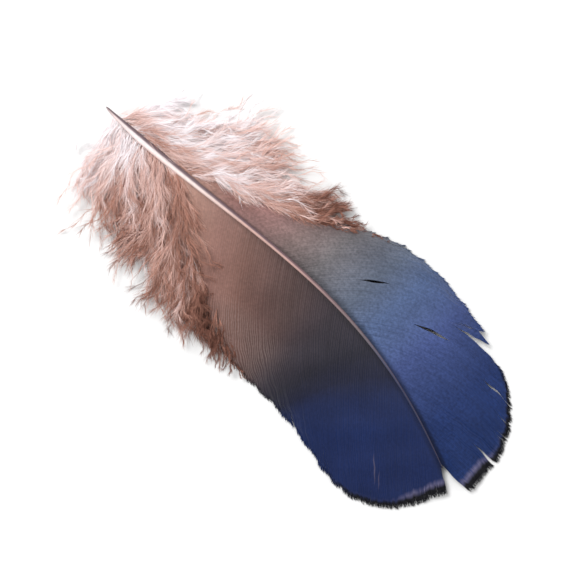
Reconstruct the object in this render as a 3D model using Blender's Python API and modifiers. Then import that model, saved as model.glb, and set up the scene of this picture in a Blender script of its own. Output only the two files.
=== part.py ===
# One contour feather of a fowl, lying on a surface with its glossy side up.
#
# The feather is described in plan first: X runs from the quill's end to the tip, Y across, and Z is up
# from the surface. The shaft bows gently towards +Y, two cambered vanes fall away from it like a shallow
# roof, and the lower third carries soft down in locks. It grew as one piece, so everything is joined into
# one solid. Units are metres.

import math
import random

import bmesh
import bpy
from mathutils import Vector

MM = 0.001

# Shaft
LENGTH = 65.0 * MM              # quill's end to vane's tip, along the straight line between them
SHAFT_END = 60.2 * MM           # where the shaft runs out in the notch of the tip
SHAFT_BOW = 4.95 * MM           # how far the shaft bows sideways
BOW_SKEW = 1.4                  # above 1, the bow is deepest beyond the middle
QUILL_HEIGHT = 2.6 * MM         # centre of the quill's end above the surface, carried by the down
TIP_HEIGHT = 0.75 * MM
ARCH_HEIGHT = 3.5 * MM          # how far the shaft arches above the line between its ends
ARCH_SKEW = 0.8                 # below 1, the arch is highest before the middle
QUILL_RADIUS = 0.6 * MM
QUILL_TIP_RADIUS = 0.22 * MM
SHAFT_END_RADIUS = 0.2 * MM
QUILL_TIP_LENGTH = 5.5 * MM     # the root's taper to its closed end
SHAFT_STEPS = 26

# Vanes: distance from the shaft to the edge, at distances along X
DARK, BRIGHT = -1, 1            # the side of the shaft, as the sign of Y
EDGE = {
    DARK: [(8.0, 0.9), (10.1, 1.3), (12.6, 2.9), (15.3, 5.0), (19.9, 8.1), (23.8, 10.5), (28.0, 12.6),
           (33.0, 14.2), (43.0, 13.9), (52.0, 13.5), (55.5, 12.5), (58.6, 10.1), (60.8, 7.4), (62.3, 4.2),
           (63.3, 0.5)],
    BRIGHT: [(8.0, 0.9), (16.0, 1.8), (20.5, 3.2), (26.0, 5.4), (31.0, 8.4), (36.0, 10.8), (40.0, 11.8),
             (46.0, 12.3), (52.0, 12.5), (58.6, 12.1), (61.4, 11.1), (63.4, 9.2), (64.8, 6.4), (65.2, 1.5)],
}
FIRST_BARB = 8.5 * MM           # where along the shaft the closed vanes begin and end
LAST_BARB = 59.6 * MM
ROOT_ANGLE = {DARK: 54.0, BRIGHT: 46.0}     # degrees between the shaft and a barb, at the barb's root
EDGE_ANGLE = {DARK: 22.0, BRIGHT: 17.0}     # the same where the barb ends at the vane's edge
TIP_ANGLE = {DARK: 12.0, BRIGHT: 22.0}      # the same for the last barb, beside the notch in the tip
TIP_BARBS_START = 38.0 * MM     # from here on the barbs swing round towards the tip
VANE_THICKNESS = 0.42 * MM
VANE_SINK = 0.12 * MM           # the vanes leave the shaft this far below its centre
VANE_OVERLAP = 0.13 * MM        # how far the vanes reach past the shaft's middle line
EDGE_CLEARANCE = 0.3 * MM       # a vane's edge lies on the surface, this far up at its middle
CAMBER_POWER = 1.7
LONG_BARB = 13.0 * MM           # a barb at least this long comes down to the surface
SHORT_BARB_LIFT = 0.72          # the shortest barbs keep this share of the shaft's height
VANE_COLUMNS = 24
VANE_ROWS = 8

# Splits between barbs: side, place on the shaft, where on the barb it opens, how wide, how far it is felt
SPLITS = [
    (BRIGHT, 51.2 * MM, 0.70, 0.6 * MM, 1.4 * MM),
    (BRIGHT, 35.0 * MM, 0.67, 1.9 * MM, 1.6 * MM),
    (DARK, 20.5 * MM, 0.74, 0.5 * MM, 1.6 * MM),
    (DARK, 28.4 * MM, 0.85, 0.3 * MM, 1.4 * MM),
]
SPLIT_SLOT = 0.03 * MM          # half the gap where a split begins

# Down: rows of locks on each side of the shaft, which fan out forwards from the quill
DOWN_START, DOWN_END = 3.0 * MM, 22.0 * MM
DOWN_LAYERS = [                 # locks a side, how far the tips end up, how high the middles swell
    (8, 2.8 * MM, 3.0 * MM),
    (8, 1.3 * MM, 0.7 * MM),
    (8, 0.3 * MM, -1.6 * MM),
]
FIRST_LOCK_ANGLE = 72.0         # degrees between the shaft and the lock nearest the quill's end
LAST_LOCK_ANGLE = 44.0
ANGLE_SPREAD = 7.0              # and how far each lock may differ from its neighbours
CURL = (-26.0, 8.0)             # degrees that a lock turns on its way out
CURL_GAIN = -14.0               # how much further the last locks turn towards the tip
DOWN_REACH = 14.2 * MM          # the longest locks are about a quarter longer than this
FIRST_REACH, REACH_GAIN = 0.74, 0.5         # a lock's share of that at the ends, and its gain halfway
ARCHED_SHARE = 0.45             # locks rooted beyond this share of the down no longer arch up
FLAT_SWELL = 0.3 * MM
LOCK_WIDTH = 2.1 * MM
LOCK_THICKNESS = 0.95 * MM
LOCK_POINTS = 6
LOCK_SIDES = 6
UNDER_VANE = 0.35 * MM          # the upper part of the down grows from the shaft's underside
UNDER_VANE_SHARE = 0.3          # and this is where along the down it starts to

# Afterfeather: a small fan of locks below the vanes
AFTERFEATHER_ROOT = 6.0 * MM
AFTERFEATHER_STEP = 0.5 * MM    # between the roots of its locks
AFTERFEATHER_SINK = 0.5 * MM    # how far below the shaft's centre they root
AFTERFEATHER_LOCKS = 5
AFTERFEATHER_REACH = 17.0 * MM
AFTERFEATHER_SPREAD = 34.0      # degrees from the feather's length to its outer locks
AFTERFEATHER_SWELL = -1.6 * MM  # its locks sag between root and tip
AFTERFEATHER_TIP = 0.4 * MM
SEED = 7

# The middle of the finished feather's footprint, in plan. It becomes the origin.
FOOTPRINT_MIDDLE = (32.6 * MM, 2.04 * MM)


def curve_through(points, x):
    """Height at x of a smooth curve through points, which are in order of x."""
    xs = [p[0] for p in points]
    ys = [p[1] for p in points]
    if x <= xs[0] or x >= xs[-1]:
        return ys[0] if x <= xs[0] else ys[-1]
    i = max(k for k in range(len(xs) - 1) if xs[k] <= x)

    def slope(k):
        low, high = max(k - 1, 0), min(k + 1, len(xs) - 1)
        return (ys[high] - ys[low]) / (xs[high] - xs[low])

    span = xs[i + 1] - xs[i]
    t = (x - xs[i]) / span
    rise = ys[i + 1] - ys[i]
    return (
        ys[i]
        + rise * t * t * (3 - 2 * t)
        + span * t * (1 - t) * (slope(i) * (1 - t) - slope(i + 1) * t)
    )


def shaft_point(x):
    """The shaft's centre at a distance x along the feather."""
    along = min(max(x / LENGTH, 0.0), 1.0)
    side = SHAFT_BOW * math.sin(math.pi * along**BOW_SKEW)
    line = QUILL_HEIGHT + (TIP_HEIGHT - QUILL_HEIGHT) * along
    return Vector((x, side, line + ARCH_HEIGHT * math.sin(math.pi * along**ARCH_SKEW)))


def shaft_heading(x):
    """The shaft's direction in plan, as an angle from +X."""
    step = 0.5 * MM
    run = shaft_point(x + step) - shaft_point(x - step)
    return math.atan2(run.y, run.x)


def edge_distance(side, x):
    return curve_through(EDGE[side], x / MM) * MM


def barb_height(root, length, share):
    """Height of a barb's middle above the surface, at a share of its length from the shaft."""
    start = shaft_point(root).z - VANE_SINK
    lift = SHORT_BARB_LIFT * max(1.0 - length / LONG_BARB, 0.0)
    settled = EDGE_CLEARANCE + (start - EDGE_CLEARANCE) * lift
    return start + (settled - start) * share**CAMBER_POWER


def barb_plan(side, root, step=0.5 * MM):
    """Points in plan along the barb that leaves the shaft at root, out to the vane's edge."""
    swing = max(root - TIP_BARBS_START, 0.0) / (LAST_BARB - TIP_BARBS_START)
    root_angle = ROOT_ANGLE[side] + (TIP_ANGLE[side] - ROOT_ANGLE[side]) * swing
    edge_angle = EDGE_ANGLE[side] + (TIP_ANGLE[side] * 0.8 - EDGE_ANGLE[side]) * swing
    here = shaft_point(root).to_2d() - Vector((0.0, side * VANE_OVERLAP))
    points = [here.copy()]
    across = -VANE_OVERLAP
    while True:
        share = max(across, 0.0) / edge_distance(side, here.x)
        turn = math.radians(root_angle + (edge_angle - root_angle) * share)
        course = shaft_heading(here.x) + side * turn
        ahead = here + step * Vector((math.cos(course), math.sin(course)))
        across_ahead = side * (ahead.y - shaft_point(ahead.x).y)
        room = (edge_distance(side, here.x) - across) / max(across_ahead - across, 1e-6)
        reach = min(room, (EDGE[side][-1][0] * MM - here.x) / (ahead.x - here.x), 1.0)
        here = here.lerp(ahead, max(reach, 0.02))
        across = side * (here.y - shaft_point(here.x).y)
        points.append(here.copy())
        if reach < 1.0:
            break
    return points


def line_length(points):
    return sum((b - a).length for a, b in zip(points, points[1:]))


def at_share(points, share):
    """The point a share of the way along a line of points."""
    share = max(share, 0.0)
    steps = [(b - a).length for a, b in zip(points, points[1:])]
    left = share * sum(steps)
    for a, b, step in zip(points, points[1:], steps):
        if left <= step:
            return a.lerp(b, left / step)
        left -= step
    return points[-1].copy()


def split_push(side, root, share):
    """How far the splits push a barb towards the tip, or back, at a share of its length."""
    push = 0.0
    for split_side, place, start, width, felt in SPLITS:
        if split_side == side and share > start:
            opened = ((share - start) / (1 - start)) ** 1.3
            distance = root - place
            push += math.copysign(0.5, distance) * width * opened * math.exp(-abs(distance) / felt)
    return push


def barb_place(side, barb, root, share):
    """A barb's place in plan at a share of its length, moved square to the barb by the splits."""
    place = at_share(barb, share)
    course = at_share(barb, min(share + 0.05, 1.0)) - at_share(barb, share - 0.05)
    towards_tip = side * Vector((course.y, -course.x)).normalized()
    return place + towards_tip * split_push(side, root, share)


def vane_columns(side):
    """Places on the shaft where the vane's columns root, with two close ones at each split."""
    places = [
        FIRST_BARB + (LAST_BARB - FIRST_BARB) * n / (VANE_COLUMNS - 1) for n in range(VANE_COLUMNS)
    ]
    for split_side, place, _, _, _ in SPLITS:
        if split_side == side:
            places = [p for p in places if abs(p - place) > 0.5 * MM]
            places += [place - SPLIT_SLOT, place + SPLIT_SLOT]
    return sorted(places)


def make_vane(name, side):
    """A cambered sheet whose columns are barbs and whose rows run from the shaft to the edge."""
    roots = vane_columns(side)
    mesh = bmesh.new()
    bmesh.ops.create_grid(mesh, x_segments=VANE_ROWS, y_segments=len(roots) - 1, size=0.5)
    barbs = [barb_plan(side, root) for root in roots]
    grid = {}
    for vert in mesh.verts:
        row = round((vert.co.x + 0.5) * VANE_ROWS)
        column = round((vert.co.y + 0.5) * (len(roots) - 1))
        grid[vert] = (row, column)
    for vert, (row, column) in grid.items():
        share = row / VANE_ROWS
        place = barb_place(side, barbs[column], roots[column], share)
        vert.co = (place.x, place.y, barb_height(roots[column], line_length(barbs[column]), share))
    for split_side, place, start, _, _ in SPLITS:
        if split_side != side:
            continue
        after = max(n for n, root in enumerate(roots) if root < place)
        gone = [
            face
            for face in mesh.faces
            if {grid[v][1] for v in face.verts} == {after, after + 1}
            and min(grid[v][0] for v in face.verts) >= start * VANE_ROWS
        ]
        bmesh.ops.delete(mesh, geom=gone, context="FACES")
    bmesh.ops.recalc_face_normals(mesh, faces=mesh.faces)
    return thickened(finish_mesh(name, mesh), VANE_THICKNESS)


def thickened(obj, thickness):
    wall = obj.modifiers.new("thickness", "SOLIDIFY")
    wall.thickness = thickness
    wall.offset = 0.0
    return evaluated_copy(obj)


def finish_mesh(name, mesh):
    data = bpy.data.meshes.new(name)
    mesh.to_mesh(data)
    mesh.free()
    return bpy.data.objects.new(name, data)


def evaluated_copy(obj):
    """The object as its modifiers or bevel make it, as a plain mesh with its caps welded."""
    bpy.context.scene.collection.objects.link(obj)
    graph = bpy.context.evaluated_depsgraph_get()
    data = bpy.data.meshes.new_from_object(obj.evaluated_get(graph))
    made = bpy.data.objects.new(obj.name + "_solid", data)
    made.matrix_world = obj.matrix_world
    bpy.data.objects.remove(obj)
    mesh = bmesh.new()
    mesh.from_mesh(data)
    bmesh.ops.remove_doubles(mesh, verts=mesh.verts, dist=0.002 * MM)
    bmesh.ops.triangulate(mesh, faces=mesh.faces)
    bmesh.ops.recalc_face_normals(mesh, faces=mesh.faces)
    mesh.to_mesh(data)
    mesh.free()
    return made


def swept(name, points, radii, section):
    """A tapered bar along points, with the outline of the section curve object."""
    curve = bpy.data.curves.new(name, "CURVE")
    curve.dimensions = "3D"
    curve.twist_mode = "Z_UP"
    curve.bevel_mode = "OBJECT"
    curve.bevel_object = section
    curve.use_fill_caps = True
    spline = curve.splines.new("POLY")
    spline.points.add(len(points) - 1)
    for target, point, radius in zip(spline.points, points, radii):
        target.co = (*point, 1.0)
        target.radius = radius
    return evaluated_copy(bpy.data.objects.new(name, curve))


def section_curve(name, width, height, sides):
    """A closed oval outline, one unit of radius for a bar of full width."""
    curve = bpy.data.curves.new(name, "CURVE")
    curve.dimensions = "2D"
    spline = curve.splines.new("POLY")
    spline.points.add(sides - 1)
    for n, target in enumerate(spline.points):
        angle = 2 * math.pi * (n + 0.5) / sides
        target.co = (width / 2 * math.cos(angle), height / 2 * math.sin(angle), 0.0, 1.0)
    spline.use_cyclic_u = True
    obj = bpy.data.objects.new(name, curve)
    obj.hide_render = True
    bpy.context.scene.collection.objects.link(obj)
    return obj


def make_shaft():
    """The bare quill and the rachis, thickest where the down begins."""
    section = section_curve("shaft_section", 2 * QUILL_RADIUS, 2 * QUILL_RADIUS, 8)
    points, radii = [], []
    for n in range(SHAFT_STEPS + 1):
        x = SHAFT_END * (n / SHAFT_STEPS) ** 1.25
        swell = math.sin(min(x / QUILL_TIP_LENGTH, 1.0) * math.pi / 2)
        full = QUILL_RADIUS + (SHAFT_END_RADIUS - QUILL_RADIUS) * (x / SHAFT_END) ** 0.9
        radius = QUILL_TIP_RADIUS + (full - QUILL_TIP_RADIUS) * swell
        points.append(shaft_point(x))
        radii.append(radius / QUILL_RADIUS)
    shaft = swept("shaft", points, radii, section)
    bpy.data.objects.remove(section)
    return shaft


def make_lock(name, root, heading, length, curl, swell, tip_height, clearance, section, width=1.0):
    """A tapering lock of down that leaves the shaft at root and settles at tip_height.

    Clearance keeps it that far above the surface, so that no two locks have bottoms in one plane.
    """
    points, radii = [], []
    here = root.copy()
    lowest = LOCK_THICKNESS / 2 * math.cos(math.pi / LOCK_SIDES)
    for n in range(LOCK_POINTS):
        share = n / (LOCK_POINTS - 1)
        course = heading + curl * share**1.5
        if n:
            stride = length / (LOCK_POINTS - 1)
            here = here + stride * Vector((math.cos(course), math.sin(course), 0.0))
        settled = root.z + (tip_height - root.z) * share**1.2
        height = settled + swell * math.sin(math.pi * share**0.8)
        taper = math.sin(math.pi * min(0.14 + 0.78 * share, 0.94)) ** 0.8
        radius = width * taper
        here.z = max(height, lowest * radius + clearance)
        points.append(here.copy())
        radii.append(radius)
    return swept(name, points, radii, section)


def side_locks(side, section, chance):
    """The locks of one side: upper ones stand up and arch over, the lowest lie on the surface."""
    locks = []
    for layer, (count, tip_height, swell) in enumerate(DOWN_LAYERS):
        for n in range(count):
            share = (n + 0.5 + chance.uniform(-0.2, 0.2)) / count
            x = DOWN_START + (DOWN_END - DOWN_START) * share
            root = shaft_point(x)
            if share > UNDER_VANE_SHARE:
                root.z -= UNDER_VANE
            angle = FIRST_LOCK_ANGLE + (LAST_LOCK_ANGLE - FIRST_LOCK_ANGLE) * share
            angle += chance.uniform(-ANGLE_SPREAD, ANGLE_SPREAD)
            curl = chance.uniform(*CURL) + CURL_GAIN * share
            reach = FIRST_REACH + REACH_GAIN * math.sin(math.pi * share**0.9)
            length = DOWN_REACH * reach * chance.uniform(0.9, 1.06)
            lift = swell if share < ARCHED_SHARE else min(swell, FLAT_SWELL)
            lock = make_lock(
                name=f"lock_{side}_{layer}_{n}",
                root=root,
                heading=shaft_heading(x) + side * math.radians(angle),
                length=length,
                curl=side * math.radians(curl),
                swell=lift,
                tip_height=tip_height,
                clearance=chance.uniform(0.05, 0.2) * MM,
                section=section,
            )
            locks.append(lock)
    return locks


def afterfeather_locks(section):
    """A small fan of down that springs from under the quill and lies below the vanes."""
    locks = []
    for n in range(AFTERFEATHER_LOCKS):
        aside = 2 * n / (AFTERFEATHER_LOCKS - 1) - 1
        root = shaft_point(AFTERFEATHER_ROOT + AFTERFEATHER_STEP * n)
        root.z -= AFTERFEATHER_SINK
        lock = make_lock(
            name=f"afterfeather_{n}",
            root=root,
            heading=math.radians(AFTERFEATHER_SPREAD * aside),
            length=AFTERFEATHER_REACH * (1 - 0.25 * abs(aside)),
            curl=0.0,
            swell=AFTERFEATHER_SWELL,
            tip_height=AFTERFEATHER_TIP,
            clearance=(0.05 + 0.03 * (n % 4)) * MM,
            section=section,
            width=0.85,
        )
        locks.append(lock)
    return locks


def make_down():
    """All the down: the locks on both sides of the shaft and the afterfeather under it."""
    chance = random.Random(SEED)
    section = section_curve("lock_section", LOCK_WIDTH, LOCK_THICKNESS, LOCK_SIDES)
    locks = side_locks(DARK, section, chance) + side_locks(BRIGHT, section, chance)
    locks += afterfeather_locks(section)
    bpy.data.objects.remove(section)
    return locks


def feather_material():
    material = bpy.data.materials.new("feather")
    material.use_nodes = True
    shader = material.node_tree.nodes["Principled BSDF"]
    shader.inputs["Base Color"].default_value = (0.06, 0.08, 0.2, 1.0)
    shader.inputs["Roughness"].default_value = 0.5
    shader.inputs["Metallic"].default_value = 0.2
    return material


def join_all(shaft, grown):
    """One solid of the shaft and all that grows on it."""
    parts = bpy.data.collections.new("grown_parts")
    bpy.context.scene.collection.children.link(parts)
    parts.hide_render = True
    for obj in grown:
        obj.hide_render = True
        obj.display_type = "WIRE"
        parts.objects.link(obj)
    join = shaft.modifiers.new("join", "BOOLEAN")
    join.operation = "UNION"
    join.operand_type = "COLLECTION"
    join.collection = parts
    join.solver = "EXACT"
    bpy.context.view_layer.update()
    feather = evaluated_copy(shaft)
    for obj in list(parts.objects):
        bpy.data.objects.remove(obj)
    bpy.data.collections.remove(parts)
    return feather


def without_pockets(obj):
    """The outer surface alone, so that pockets closed in between the locks are filled."""
    mesh = bmesh.new()
    mesh.from_mesh(obj.data)
    tip = max(mesh.verts, key=lambda vert: vert.co.x)
    outer = set(tip.link_faces)
    newest = list(outer)
    while newest:
        beside = {near for face in newest for edge in face.edges for near in edge.link_faces} - outer
        outer |= beside
        newest = list(beside)
    pockets = [face for face in mesh.faces if face not in outer]
    bmesh.ops.delete(mesh, geom=pockets, context="FACES")
    mesh.to_mesh(obj.data)
    mesh.free()


def main():
    for obj in list(bpy.data.objects):
        bpy.data.objects.remove(obj)
    shaft = make_shaft()
    grown = [make_vane("dark_vane", DARK), make_vane("bright_vane", BRIGHT), *make_down()]
    feather = join_all(shaft, grown)
    without_pockets(feather)
    feather.name = "feather"
    feather.location = (-FOOTPRINT_MIDDLE[0], -FOOTPRINT_MIDDLE[1], 0.0)
    feather.data.materials.clear()
    feather.data.materials.append(feather_material())
    feather.data.shade_smooth()
    feather.data.set_sharp_from_angle(angle=math.radians(40))
    collection = bpy.data.collections.new("contour_feather")
    bpy.context.scene.collection.children.link(collection)
    collection.objects.link(feather)


main()
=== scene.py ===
# %% [markdown]
# # A chicken's body feather
#
# One loose feather lies on a pale surface, glossy side up. A thin pale shaft bows through it. On either side
# of the shaft a vane of fine barbs falls away like a shallow roof: brown at first, then charcoal and navy on
# one side, and grey, steel blue and violet blue on the other. Round the shaft's lower third grows loose,
# pinkish down.
#
# The solid from the CAD step gives the place and the size. It is replaced here by what a feather is really
# made of: a horny shaft, barbs, barbules and downy threads.

import math

import bmesh
import bpy
import numpy as np
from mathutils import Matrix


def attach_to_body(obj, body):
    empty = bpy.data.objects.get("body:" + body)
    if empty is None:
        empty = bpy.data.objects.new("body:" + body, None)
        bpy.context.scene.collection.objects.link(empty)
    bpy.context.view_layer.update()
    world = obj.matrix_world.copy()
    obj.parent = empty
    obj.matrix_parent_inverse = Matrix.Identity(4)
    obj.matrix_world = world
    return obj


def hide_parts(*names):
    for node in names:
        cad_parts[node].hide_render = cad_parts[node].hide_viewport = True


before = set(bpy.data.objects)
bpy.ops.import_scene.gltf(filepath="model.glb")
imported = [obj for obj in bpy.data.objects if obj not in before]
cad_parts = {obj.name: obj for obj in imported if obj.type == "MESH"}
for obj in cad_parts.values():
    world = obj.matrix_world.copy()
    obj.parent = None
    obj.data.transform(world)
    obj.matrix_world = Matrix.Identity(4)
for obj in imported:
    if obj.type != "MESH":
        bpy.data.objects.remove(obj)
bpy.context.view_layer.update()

# %% [markdown]
# ## The feather's own ruler
#
# All shapes below are worked out in millimetres, with X along the feather from the quill's end, Y across it
# and Z up from the surface. They are moved to the shared frame, and turned into metres, only when a mesh is
# made. The two sides of the shaft are called dark (at -Y) and bright (at +Y) after their vanes.
#
# The shaft's line could be a curve drawn by hand. It is a pair of formulas instead, because every barb and
# every downy thread has to ask where the shaft is at some x, and which way it heads there.

# %% The shaft's line
MM = 0.001
FOOTPRINT_MIDDLE = np.array([32.6, 2.04, 0.0])
FEATHER_LENGTH = 65.0
SHAFT_END = 61.0
DARK, BRIGHT = -1, 1
QUILL_HEIGHT, TIP_DROP = 2.6, 1.85
# How far it bows, and a power that moves the highest point along it.
SIDEWAYS_BOW = (4.95, 1.4)
UPWARD_ARCH = (3.5, 0.8)


def shaft_side(x):
    """How far the shaft bows sideways at x."""
    bow, power = SIDEWAYS_BOW
    return bow * np.sin(np.pi * np.clip(x / FEATHER_LENGTH, 0, 1) ** power)


def shaft_height(x):
    """The height of the shaft's middle at x: the down carries the quill, and the tip lies low."""
    arch, power = UPWARD_ARCH
    along = np.clip(x / FEATHER_LENGTH, 0, 1)
    return QUILL_HEIGHT - TIP_DROP * along + arch * np.sin(np.pi * along**power)


def slope(line, x):
    """How much a line rises over the millimetre round x."""
    return line(x + 0.5) - line(x - 0.5)


def shaft_heading(x):
    """The shaft's direction in plan at x, as an angle from X."""
    return np.arctan2(slope(shaft_side, x), 1.0)


print("shaft's height at its middle:", round(float(shaft_height(32.0)), 2), "mm")

# %% [markdown]
# ## Helpers for materials
#
# Every material is a Principled shader with a few nodes in front of it. Most of a feather's colour follows
# the feather: where along it a barb stands, and how near its tip a point is. So the meshes carry such numbers
# as attributes, and the nodes turn them into colour. A fine noise on Object coordinates adds the grain of the
# barbules. The nodes could be set and linked one by one. A class with a short word for each kind of node
# keeps the finishes below easy to read.

# %% Short ways to add nodes


def linear(colour):
    """A colour given as 0 to 255 screen values, as the linear values that shaders use."""
    return [((v / 255 + 0.055) / 1.055) ** 2.4 if v > 10 else v / 255 / 12.92 for v in colour] + [1.0]


class Finish:
    """A Principled material and the nodes that feed it."""

    def __init__(self, name, roughness, specular=0.5):
        self.material = bpy.data.materials.new(name)
        self.material.use_nodes = True
        self.nodes, self.links = self.material.node_tree.nodes, self.material.node_tree.links
        self.shader = self.nodes["Principled BSDF"]
        self.put("Roughness", roughness)
        self.put("Specular IOR Level", specular)

    def feed(self, value, socket):
        """Set a socket to a plain value, or link another node's output to it."""
        if isinstance(value, (int, float, list)):
            socket.default_value = value
        else:
            self.links.new(value, socket)

    def put(self, name, value):
        """Feed one of the shader's own sockets."""
        self.feed(value, self.shader.inputs[name])

    def attribute(self, name):
        """A number that the mesh carries on its corners."""
        node = self.nodes.new("ShaderNodeAttribute")
        node.attribute_name = name
        return node.outputs["Fac"]

    def ramp(self, value, stops):
        """A colour ramp over value, with stops of (place, screen colour)."""
        node = self.nodes.new("ShaderNodeValToRGB")
        elements = node.color_ramp.elements
        while len(elements) < len(stops):
            elements.new(0.5)
        for element, (place, colour) in zip(elements, stops):
            element.position = place
            element.color = linear(colour)
        self.feed(value, node.inputs["Fac"])
        return node.outputs["Color"]

    def mix(self, factor, first, second, blend="MIX"):
        """The first colour, with a factor's share of the second in it."""
        node = self.nodes.new("ShaderNodeMix")
        node.data_type = "RGBA"
        node.blend_type = blend
        sockets = {s.name: s for s in node.inputs if s.enabled}
        for name, value in (("Factor", factor), ("A", first), ("B", second)):
            self.feed(value, sockets[name])
        return next(s for s in node.outputs if s.enabled)

    def shade(self, colour, by, factor=1.0):
        """A colour multiplied by a grey."""
        return self.mix(factor, colour, by, "MULTIPLY")

    def spread(self, value, low, high, to_low=0.0, to_high=1.0):
        """value, moved from the range low to high into the range to_low to to_high."""
        node = self.nodes.new("ShaderNodeMapRange")
        for name, number in (("From Min", low), ("From Max", high), ("To Min", to_low), ("To Max", to_high)):
            node.inputs[name].default_value = number
        self.feed(value, node.inputs["Value"])
        return node.outputs["Result"]

    def times(self, first, second):
        """One number multiplied by another."""
        node = self.nodes.new("ShaderNodeMath")
        node.operation = "MULTIPLY"
        self.feed(first, node.inputs[0])
        self.feed(second, node.inputs[1])
        return node.outputs["Value"]

    def noise(self, size, detail=2.0):
        """A noise on Object coordinates whose patches are about size metres wide."""
        place = self.nodes.new("ShaderNodeTexCoord")
        node = self.nodes.new("ShaderNodeTexNoise")
        node.inputs["Scale"].default_value = 1.0 / size
        node.inputs["Detail"].default_value = detail
        self.links.new(place.outputs["Object"], node.inputs["Vector"])
        return node.outputs["Fac"]


print("screen grey 128 is", round(linear([128])[0], 3), "to a shader")

# %% [markdown]
# ## The shaft's finish
#
# The shaft is horn: nearly white where the quill is hollow, then brown, then as dark as the vanes. Its side
# towards the bright vane is dark all along, and that is painted shade here: the shaded side of a rod that is
# lit from the other side. An image could carry this, but it would need a map of a long, thin tube. Two
# numbers on
# the corners do it more simply: how far along the feather a corner is, and how much of the painted shade it
# takes.

# %% Horn, pale at the quill and dark at the tip
# Each is (place, colour), with 0 at the quill's end and 1 at the feather's tip.
HORN_STOPS = [
    (0.0, (150, 128, 128)), (0.03, (224, 204, 202)), (0.09, (246, 230, 228)), (0.22, (244, 224, 218)),
    (0.34, (208, 171, 161)), (0.46, (191, 155, 148)), (0.54, (152, 126, 124)), (0.64, (114, 104, 108)),
    (0.7, (80, 80, 100)), (0.77, (46, 52, 80)), (1.0, (27, 33, 60)),
]
# The colour of the painted shade on the shaft's side towards the bright vane.
SIDE_SHADE_COLOUR = (84, 64, 74)
# The painted shade fades between two places along the feather, from one strength to the other.
SIDE_SHADE_FADES, SIDE_SHADE_STRENGTHS = (0.42, 0.75), (0.92, 0.35)
HORN_CELLS = 0.0006  # metres


def shaft_finish():
    """Smooth horn with a thin gloss, faintly mottled, and painted shade down its side towards the bright
    vane.
    """
    finish = Finish("shaft_horn", roughness=0.38, specular=0.4)
    finish.put("Coat Weight", 0.1)
    along = finish.attribute("along")
    colour = finish.ramp(along, HORN_STOPS)
    # Painted shade down the side of the shaft towards the bright vane, strongest near the quill.
    painted_side_shade = finish.times(finish.attribute("shade_side"), finish.spread(along, *SIDE_SHADE_FADES, *SIDE_SHADE_STRENGTHS))
    colour = finish.mix(painted_side_shade, colour, linear(SIDE_SHADE_COLOUR))
    cells = finish.spread(finish.noise(HORN_CELLS), 0.3, 0.7, 0.9, 1.04)
    finish.put("Base Color", finish.shade(colour, cells))
    return finish.material


horn = shaft_finish()
print(horn.name, "has", len(horn.node_tree.nodes), "nodes")

# %% [markdown]
# ## The shaft
#
# The shaft is a tapering rod of horn. Its root, the quill, is a closed tube with a thin point, and from where
# the vanes start it is solid, with a shallow groove along its underside. A curve with a bevel could make it,
# but not the groove. So a bmesh cylinder is cut into many rings, and each ring is moved to its place on the
# shaft's line.

# %% A smooth curve and a soft step


def smooth_curve(points, x):
    """A smooth curve through a few points, read at any x."""
    xs, ys = np.array(points, float).T
    x = np.clip(x, xs[0], xs[-1])
    slopes = (np.append(ys[1:], ys[-1]) - np.append(ys[0], ys[:-1])) / (
        np.append(xs[1:], xs[-1]) - np.append(xs[0], xs[:-1])
    )
    i = np.clip(np.searchsorted(xs, x, side="right") - 1, 0, len(xs) - 2)
    span = xs[i + 1] - xs[i]
    t = (x - xs[i]) / span
    straight = ys[i] + (ys[i + 1] - ys[i]) * t * t * (3 - 2 * t)
    return straight + span * t * (1 - t) * (slopes[i] * (1 - t) - slopes[i + 1] * t)


def smooth_step(low, high, value):
    """0 up to low and 1 from high on, with a soft rise between. With low above high it falls from 1 to 0."""
    t = np.clip((value - low) / (high - low), 0, 1)
    return t * t * (3 - 2 * t)


print("a soft step, a quarter of the way:", float(smooth_step(0.0, 1.0, 0.25)))

# %% The shaft's section and thickness
SHAFT_SIDES = 20
SHAFT_RINGS = 130
# Points of (x, half the width): a thin point, thickest near the first barbs, then a long taper.
SHAFT_RADIUS = [(0.0, 0.14), (2.0, 0.3), (4.5, 0.46), (7.0, 0.54), (9.5, 0.53), (14.0, 0.45), (18.0, 0.38),
                (22.0, 0.32), (30.0, 0.26), (38.0, 0.21), (46.0, 0.165), (54.0, 0.12), (61.0, 0.07)]
ROOT_ROUNDS_OFF = (-0.35, 0.3)
GROOVE_DEPTH, GROOVE_SHARPNESS, GROOVE_STARTS = 0.3, 6, (7.0, 12.0)
# The border of the painted shade, as cosines of the angle round the shaft, with 1 straight towards the bright
# vane.
SIDE_SHADE_BORDER = (-0.22, 0.2)


def shaft_radius(x):
    """Half the shaft's width at x."""
    return smooth_curve(SHAFT_RADIUS, x) * smooth_step(*ROOT_ROUNDS_OFF, x)


def groove(turn, x):
    """How much of its radius the section keeps at an angle: it dips underneath, beyond the quill."""
    below = math.cos(turn + math.pi / 2)
    return 1.0 - GROOVE_DEPTH * max(below, 0.0) ** GROOVE_SHARPNESS * smooth_step(*GROOVE_STARTS, x)


def shaft_corner(x, turn):
    """The place of the shaft's surface at x and at an angle round it."""
    radius = float(shaft_radius(x)) * groove(turn, x)
    aside, up = radius * math.cos(turn), radius * math.sin(turn)
    heading, rise = float(shaft_heading(x)), float(slope(shaft_height, x))
    middle = np.array([x, float(shaft_side(x)), float(shaft_height(x))])
    return middle + [-aside * math.sin(heading) - up * rise, aside * math.cos(heading), up]


print("shaft at the first barbs is", round(2 * float(shaft_radius(8.5)), 2), "mm thick")

# %% Make the shaft


def attach(piece):
    """Put a finished piece in the scene, on the part's body and in place of its solid."""
    bpy.context.scene.collection.objects.link(piece)
    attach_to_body(piece, "root")
    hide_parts("feather")


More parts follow.
